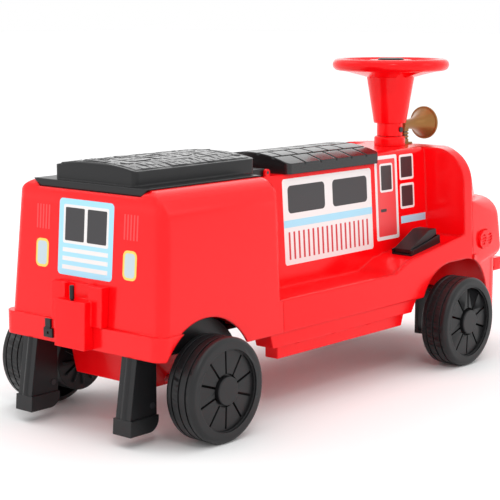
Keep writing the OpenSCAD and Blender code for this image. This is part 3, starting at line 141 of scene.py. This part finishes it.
glossRed = makeFinish("glossRed", (0.97, 0.002, 0.005), redRough, redGrain, edge=2.2, shine=0.24)
boxRed = makeFinish("boxRed", (0.93, 0.003, 0.006), redRough, redGrain, edge=3.0, shine=0.32, upper=boxUpper)
shellRed = makeFinish("shellRed", (0.97, 0.002, 0.005), redRough, redGrain, edge=5.0, shine=0.24)
seatBlack = makeFinish("seatBlack", (0.009, 0.009, 0.010), (0.26, 0.34), satinGrain, edge=4.5, shine=0.36)
satinBlack = makeFinish("satinBlack", (0.009, 0.009, 0.010), (0.30, 0.38), satinGrain, edge=1.4, shine=0.36)
glossBlack = makeFinish("glossBlack", (0.012, 0.012, 0.013), (0.18, 0.26), coverGrain, edge=3.0)
wheelBlack = makeFinish("wheelBlack", (0.010, 0.010, 0.011), (0.34, 0.42), wheelGrain, edge=1.0, shine=0.36)
darkSteel = makeFinish("darkSteel", (0.05, 0.05, 0.055), (0.30, 0.38), steelGrain, metallic=0.6)
bronzePlastic = makeFinish("bronzePlastic", (0.30, 0.15, 0.032), (0.26, 0.36), hornGrain, metallic=0.45)
zincSteel = makeFinish("zincSteel", (0.62, 0.63, 0.65), (0.28, 0.38), steelGrain, metallic=1.0)
lensCream = makeFinish("lensCream", (0.82, 0.78, 0.60), (0.15, 0.15), coat=0.4)
darkPane = makeFinish("darkPane", (0.012, 0.014, 0.016), (0.10, 0.10), coat=0.5)
batteryGrey = makeFinish("batteryGrey", (0.06, 0.065, 0.075), (0.45, 0.55), caseGrain)
printWhite = makeFinish("printWhite", (0.86, 0.84, 0.83), printRough)
printBlue = makeFinish("printBlue", (0.40, 0.76, 0.94), printRough)
printRed = makeFinish("printRed", (0.62, 0.020, 0.028), printRough)
printPaleRed = makeFinish("printPaleRed", (0.86, 0.060, 0.065), printRough)
printDark = makeFinish("printDark", (0.035, 0.033, 0.036), printRough)
printYellow = makeFinish("printYellow", (0.95, 0.68, 0.13), printRough)
printPale = makeFinish("printPale", (0.55, 0.66, 0.72), printRough)
print("materials ready")

# solids: softened edges and finishes

finishOf = {
    boxRed: ["rear_body"],
    shellRed: ["mid_body", "nose_cap", "front_bumper"],
    seatBlack: ["seat_lid"],
    glossRed: ["side_lamp_left", "side_lamp_right", "rear_coupler", "axle_housing", "side_rail_left",
               "side_rail_right", "rail_screws", "roof_collar", "steering_wheel"],
    satinBlack: ["draw_pin", "charge_socket", "socket_cover", "chassis_plate", "storage_bin", "gearbox",
                 "rear_leg_left", "rear_leg_right", "front_cradle", "knuckle_left", "knuckle_right",
                 "horn_button", "pedal_base", "pedal", "pedal_switch"],
    glossBlack: ["mid_cover"],
    darkSteel: ["leg_screws", "steering_bolt", "seat_hinge_pin", "pedal_pin"],
    zincSteel: ["motor", "rear_axle", "kingpin_left", "kingpin_right", "stub_axle_left", "stub_axle_right",
                "tie_rod", "steering_shaft"],
    bronzePlastic: ["horn_bell", "horn_bracket"],
    lensCream: ["headlamp_left", "headlamp_right"],
    darkPane: ["windscreen"],
    batteryGrey: ["battery"],
    wheelBlack: ["rear_wheel_left", "rear_wheel_right", "front_wheel_left", "front_wheel_right",
                 "rear_cap_left", "rear_cap_right", "front_cap_left", "front_cap_right"],
}
edgeOf = {  # edge radius of the larger pieces
    "rear_body": 1.2, "mid_body": 1.2, "nose_cap": 1.0, "rear_coupler": 1.5, "seat_lid": 3.0,
    "mid_cover": 0.8, "front_bumper": 2.0, "rear_leg_left": 1.2, "rear_leg_right": 1.2,
    "steering_wheel": 1.0, "side_rail_left": 1.5, "side_rail_right": 1.5, "axle_housing": 1.0,
    "pedal": 1.0, "pedal_base": 0.6, "charge_socket": 0.4, "socket_cover": 0.5,
}
softening = {"edge": 0.3, "weld": 0.002, "flat": 0.6, "bend": 28.0, "segments": 2}


def dressSolid(name, material):
    solid = cadNodes[name]
    solid.data.materials.clear()
    solid.data.materials.append(material)
    if "custom_normal" in solid.data.attributes:
        solid.data.attributes.remove(solid.data.attributes["custom_normal"])
    solid.data.shade_smooth()
    weld = solid.modifiers.new("weld", "WELD")
    weld.merge_threshold = softening["weld"] * mm
    flat = solid.modifiers.new("flat", "DECIMATE")
    flat.decimate_type = "DISSOLVE"
    flat.angle_limit = math.radians(softening["flat"])
    soft = solid.modifiers.new("soft", "BEVEL")
    soft.width = edgeOf.get(name, softening["edge"]) * mm
    soft.segments = softening["segments"]
    soft.limit_method = "ANGLE"
    soft.angle_limit = math.radians(softening["bend"])
    soft.use_clamp_overlap = True
    even = solid.modifiers.new("even", "WEIGHTED_NORMAL")
    even.keep_sharp = True
    return solid


for material, names in finishOf.items():
    for name in names:
        dressSolid(name, material)
print("solids dressed")

# rough stone-like relief on the seat's crown

seatRelief = {"rear": -397.0, "front": -166.0, "half": 74.0, "along": 16, "across": 10, "jitter": 0.24,
              "groove": 0.9, "rise": (0.9, 2.0), "tilt": 0.05, "crown": 404.0, "top": 372.9, "sunk": 0.2,
              "soft": 0.5, "softSteps": 2, "seed": 11}


def makeSeatRelief(spec):
    chance = random.Random(spec["seed"])
    build = bmesh.new()
    bmesh.ops.create_grid(build, x_segments=spec["along"], y_segments=spec["across"], size=0.5)
    length = spec["front"] - spec["rear"]
    width = 2 * spec["half"]
    stepX = length / spec["along"]
    stepY = width / spec["across"]
    for vert in build.verts:
        inside = not vert.is_boundary
        vert.co.x = vert.co.x * length + (chance.uniform(-1, 1) * spec["jitter"] * stepX if inside else 0)
        vert.co.y = vert.co.y * width + (chance.uniform(-1, 1) * spec["jitter"] * stepY if inside else 0)
    stones = list(build.faces)
    bmesh.ops.inset_individual(build, faces=stones, thickness=spec["groove"], use_even_offset=True)
    for stone in stones:
        middle = stone.calc_center_median()
        turn = Matrix.Rotation(chance.uniform(-1, 1) * spec["tilt"], 3, "X")
        turn = turn @ Matrix.Rotation(chance.uniform(-1, 1) * spec["tilt"], 3, "Y")
        bmesh.ops.rotate(build, cent=middle, matrix=turn, verts=stone.verts)
        bmesh.ops.translate(build, vec=(0, 0, chance.uniform(*spec["rise"])), verts=stone.verts)
    middleX = (spec["rear"] + spec["front"]) / 2
    for vert in build.verts:
        crown = spec["top"] - spec["crown"] + math.sqrt(spec["crown"] ** 2 - vert.co.y ** 2)
        vert.co = Vector((vert.co.x + middleX, vert.co.y, vert.co.z + crown - spec["sunk"])) * mm
    mesh = bpy.data.meshes.new("seatRelief")
    build.to_mesh(mesh)
    build.free()
    relief = bpy.data.objects.new("seatRelief", mesh)
    relief.data.materials.append(glossBlack)
    scene.collection.objects.link(relief)
    soft = relief.modifiers.new("soft", "BEVEL")
    soft.width = spec["soft"] * mm
    soft.segments = spec["softSteps"]
    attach(relief, "seat")


makeSeatRelief(seatRelief)
print("seat relief done")

# small moulded forms that the solids leave plain

def addPiece(build, name, material, body):
    bmesh.ops.recalc_face_normals(build, faces=build.faces)
    mesh = bpy.data.meshes.new(name)
    build.to_mesh(mesh)
    build.free()
    piece = bpy.data.objects.new(name, mesh)
    piece.data.materials.append(material)
    scene.collection.objects.link(piece)
    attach(piece, body)
    return piece


def thicken(build, shift):
    # draws the faces out into a closed plate
    raised = bmesh.ops.extrude_face_region(build, geom=list(build.faces))
    moved = [item for item in raised["geom"] if isinstance(item, bmesh.types.BMVert)]
    bmesh.ops.translate(build, vec=shift, verts=moved)


wheelWeb = {"column": 287.5, "inner": 37.0, "outer": 85.0, "low": 465.0, "high": 477.5, "thick": 3.0,
            "half": 48, "steps": 12, "turns": (60, 180, 300)}


def makeWheelWeb(spec):
    # sloped undersides of the steering wheel's spokes
    build = bmesh.new()
    for turn in spec["turns"]:
        pairs = []
        for k in range(spec["steps"] + 1):
            angle = math.radians(turn - spec["half"] + 2 * spec["half"] * k / spec["steps"])
            ends = []
            for r, z in ((spec["inner"], spec["low"]), (spec["outer"], spec["high"])):
                place = ((spec["column"] + r * math.cos(angle)) * mm, r * math.sin(angle) * mm, z * mm)
                ends.append(build.verts.new(place))
            pairs.append(ends)
        for (a, b), (c, d) in zip(pairs, pairs[1:]):
            build.faces.new((a, b, d, c))
    thicken(build, (0, 0, spec["thick"] * mm))
    addPiece(build, "wheelWeb", glossRed, "steering")


makeWheelWeb(wheelWeb)

archLiner = {"axle": (-343.5, 73.0), "radius": 94.0, "floor": 124.3, "inner": 128.5, "thick": 1.5,
             "steps": 24}


def makeArchLiner(spec, side, name):
    # dark wall inside a rear wheel arch
    build = bmesh.new()
    start = math.asin((spec["floor"] - spec["axle"][1]) / spec["radius"])
    rim = []
    for k in range(spec["steps"] + 1):
        angle = start + (math.pi - 2 * start) * k / spec["steps"]
        x = spec["axle"][0] + spec["radius"] * math.cos(angle)
        z = spec["axle"][1] + spec["radius"] * math.sin(angle)
        rim.append(build.verts.new((x * mm, side * spec["inner"] * mm, z * mm)))
    build.faces.new(rim)
    thicken(build, (0, side * spec["thick"] * mm, 0))
    addPiece(build, name, satinBlack, "chassis")


makeArchLiner(archLiner, 1, "archLinerLeft")
makeArchLiner(archLiner, -1, "archLinerRight")

hornShadeCore = {"low": (322.7, -5.6, 358.2), "high": (332.3, -1.8, 371.8)}


def makeHornShadeCore(spec):
    # web behind the bracket's ribs; its dark colour is painted shade between the ribs
    build = bmesh.new()
    low, high = Vector(spec["low"]) * mm, Vector(spec["high"]) * mm
    size = high - low
    place = Matrix.Translation((low + high) / 2) @ Matrix.Diagonal((size.x, size.y, size.z, 1))
    bmesh.ops.create_cube(build, size=1.0, matrix=place)
    # the dark steel finish paints the shade that falls in the slots between the bracket's ribs
    addPiece(build, "hornShadeCore", darkSteel, "chassis")


makeHornShadeCore(hornShadeCore)

rimBead = {"radius": 56.5, "minor": 0.9, "face": 189.2, "height": 73.0, "steps": 72, "sides": 8,
           "wheels": {"RearLeft": (-343.5, 1, "wheel_rear_l"), "RearRight": (-343.5, -1, "wheel_rear_r"),
                      "FrontLeft": (252.0, 1, "wheel_front_l"), "FrontRight": (252.0, -1, "wheel_front_r")}}


def makeRimBead(spec, name, station, side, body):
    # thin bead round the inside of a wheel's rim
    build = bmesh.new()
    middle = Vector((station, side * spec["face"], spec["height"]))
    ring = []
    for k in range(spec["sides"]):
        angle = 2 * math.pi * k / spec["sides"]
        ring.append(build.verts.new((middle + Vector((spec["radius"] + spec["minor"] * math.cos(angle),
                                                      spec["minor"] * math.sin(angle), 0))) * mm))
    edges = [build.edges.new((ring[k], ring[(k + 1) % spec["sides"]])) for k in range(spec["sides"])]
    bmesh.ops.spin(build, geom=edges + ring, cent=middle * mm, axis=(0, 1, 0), angle=2 * math.pi,
                   steps=spec["steps"], use_merge=True)
    for face in build.faces:
        face.smooth = True
    addPiece(build, "rimBead" + name, wheelBlack, body)


for name, (station, side, body) in rimBead["wheels"].items():
    makeRimBead(rimBead, name, station, side, body)
print("small forms done")

# printed panels, thin sheets on the walls

def wallFrame(origin, right, up):
    right = Vector(right).normalized()
    up = Vector(up).normalized()
    out = right.cross(up)
    turn = Matrix((right, up, out)).transposed().to_4x4()
    return Matrix.Translation(Vector(origin) * mm) @ turn


printSheet = {"thick": 0.12, "cornerSteps": 6}


def makePrint(name, place, shapes, material, layer):
    # shapes are (left, right, low, high, corner radius) on the wall
    sheet = printSheet["thick"] * mm
    build = bmesh.new()
    for left, right, low, high, corner in shapes:
        corners = ((left, low), (right, low), (right, high), (left, high))
        made = [build.verts.new((x * mm, y * mm, 0)) for x, y in corners]
        build.faces.new(made)
        if corner:
            bmesh.ops.bevel(build, geom=made, offset=corner * mm, offset_type="OFFSET",
                            segments=printSheet["cornerSteps"], profile=0.5, affect="VERTICES", material=-1)
    bmesh.ops.translate(build, vec=(0, 0, layer * sheet), verts=build.verts)
    thicken(build, (0, 0, sheet))
    bmesh.ops.transform(build, matrix=place, verts=build.verts)
    addPiece(build, name, material, "chassis")


sidePrint = {"half": 65.0, "roof": 350.0, "lean": 0.0645, "middle": 250.0}


def sideFrame(side):
    y = side * (sidePrint["half"] + sidePrint["lean"] * (sidePrint["roof"] - sidePrint["middle"]))
    return wallFrame((0, y, sidePrint["middle"]), (-side, 0, 0), (0, -side * sidePrint["lean"], 1))


def onSide(shapes, side):
    # turns stations and heights into the wall's own directions
    turned = []
    for rear, front, low, high, corner in shapes:
        ends = sorted((-side * rear, -side * front))
        turned.append((ends[0], ends[1], low - sidePrint["middle"], high - sidePrint["middle"], corner))
    return turned


slats = {"first": -72.0, "step": 11.6, "width": 4.2, "count": 18, "low": 204.0, "high": 246.0}
slatShapes = []
for k in range(slats["count"]):
    slatRear = slats["first"] + k * slats["step"]
    slatShapes.append((slatRear, slatRear + slats["width"], slats["low"], slats["high"], 0))
sideLivery = [  # name, finish, layer and shapes
    ("Field", printWhite, 0, [(-82, 142, 196, 327, 5)]),
    ("Slats", printRed, 1, slatShapes),
    ("Band", printBlue, 1, [(-82, 142, 253, 264, 0)]),
    ("Panes", printDark, 1, [(-70, 20, 274, 316, 7), (40, 130, 274, 316, 7)]),
    ("Door", printWhite, 0, [(153, 215, 206, 344, 4)]),
    ("DoorLeaf", printPaleRed, 1, [(159, 209, 212, 338, 2)]),
    ("DoorWindow", printWhite, 2, [(166, 202, 284, 331, 4)]),
    ("DoorPane", printDark, 3, [(169.5, 198.5, 287.5, 327.5, 2)]),
    ("DoorPull", printDark, 2, [(166, 182, 252, 257, 2)]),
    ("CabFrame", printWhite, 0, [(222, 262, 300, 342, 4), (222, 262, 252, 294, 4)]),
    ("CabPane", printDark, 1, [(226, 258, 304, 338, 2), (226, 258, 256, 290, 2)]),
    ("CabBand", printBlue, 0, [(222, 293, 228, 240, 0)]),
]
for side, word in ((-1, "Right"), (1, "Left")):
    for name, material, layer, shapes in sideLivery:
        makePrint("side" + word + name, sideFrame(side), onSide(shapes, side), material, layer)

rearPrint = {"foot": -431.5, "skirt": 121.0, "lean": 0.07, "middle": 260.0}
rearFrame = wallFrame((rearPrint["foot"] + rearPrint["lean"] * (rearPrint["middle"] - rearPrint["skirt"]), 0,
                       rearPrint["middle"]), (0, -1, 0), (rearPrint["lean"], 0, 1))
slots = {"place": 87.0, "first": -12.0, "step": 6.0, "half": 1.2, "count": 5, "low": 276.0, "high": 310.0}
slotShapes = []
for side in (-1, 1):
    for k in range(slots["count"]):
        middle = side * slots["place"] + slots["first"] + k * slots["step"]
        slotShapes.append((middle - slots["half"], middle + slots["half"], slots["low"], slots["high"], 0))
rearLivery = [
    ("Field", printBlue, 0, [(-54, 54, 216, 322, 6)]),
    ("Frame", printWhite, 1, [(-45, 45, 260, 314, 3)]),
    ("Panes", printDark, 2, [(-41, -3, 264, 310, 2), (3, 41, 264, 310, 2)]),
    ("Bars", printWhite, 1, [(-45, 45, 224, 230, 0), (-45, 45, 236, 242, 0), (-45, 45, 248, 254, 0)]),
    ("LampRings", printYellow, 0, [(-100, -74, 222, 262, 8), (74, 100, 222, 262, 8)]),
    ("LampPanes", printPale, 1, [(-96.5, -77.5, 225.5, 258.5, 5), (77.5, 96.5, 225.5, 258.5, 5)]),
    ("Slots", printPaleRed, 0, slotShapes),
]
for name, material, layer, shapes in rearLivery:
    moved = [(left, right, low - rearPrint["middle"], high - rearPrint["middle"], corner)
             for left, right, low, high, corner in shapes]
    makePrint("rear" + name, rearFrame, moved, material, layer)
print("prints done")

# camera at the photograph's angle

camera = {"place": (-1.7934, -1.4832, 0.5764), "look": (0.74691, 0.64575, -0.15851),
          "lens": 107.15, "sensor": 36.0}
cameraData = bpy.data.cameras.new("photoCamera")
cameraData.lens = camera["lens"]
cameraData.sensor_width = camera["sensor"]
cameraObject = bpy.data.objects.new("photoCamera", cameraData)
cameraObject.location = camera["place"]
cameraObject.rotation_mode = "QUATERNION"
cameraObject.rotation_quaternion = Vector(camera["look"]).to_track_quat("-Z", "Y")
scene.collection.objects.link(cameraObject)
scene.camera = cameraObject

# floor and light

studio = {"floor": 30.0, "floorColour": (0.93, 0.93, 0.93), "sky": 1.0, "sun": 0.55,
          "sunSpread": 50.0, "aim": (0, 0, 0.2)}
floorMesh = bpy.data.meshes.new("floor")
floorBuild = bmesh.new()
bmesh.ops.create_grid(floorBuild, x_segments=1, y_segments=1, size=studio["floor"])
floorBuild.to_mesh(floorMesh)
floorBuild.free()
floor = bpy.data.objects.new("floor", floorMesh)
floor.data.materials.append(makeFinish("paleFloor", studio["floorColour"], (0.9, 0.9)))
scene.collection.objects.link(floor)

world = bpy.data.worlds.new("studio")
world.use_nodes = True
scene.world = world
sky = world.node_tree
skyShader = sky.nodes["Background"]
skyShader.inputs["Strength"].default_value = studio["sky"]
skyShader.inputs["Color"].default_value = (1.0, 1.0, 1.0, 1.0)

lamps = {
    "key": {"place": (-1.6, -1.6, 2.2), "size": 0.35, "power": 8.0},
    "fill": {"place": (1.2, -2.2, 1.4), "size": 1.0, "power": 3.0},
    "back": {"place": (-0.6, 2.0, 2.4), "size": 1.2, "power": 5.0},
    "gleam": {"place": (2.4, 1.75, 1.65), "size": 2.0, "power": 8.0},
}
for name, lamp in lamps.items():
    lampData = bpy.data.lights.new(name, "AREA")
    lampData.shape = "SQUARE"
    lampData.size = lamp["size"]
    lampData.energy = lamp["power"]
    lampObject = bpy.data.objects.new(name, lampData)
    lampObject.location = lamp["place"]
    lampObject.rotation_mode = "QUATERNION"
    aim = Vector(studio["aim"]) - lampObject.location
    lampObject.rotation_quaternion = aim.to_track_quat("-Z", "Y")
    lampObject.visible_camera = False
    scene.collection.objects.link(lampObject)
sunData = bpy.data.lights.new("sun", "SUN")
sunData.energy = studio["sun"]
sunData.angle = math.radians(studio["sunSpread"])
sunObject = bpy.data.objects.new("sun", sunData)
scene.collection.objects.link(sunObject)
print("studio ready")
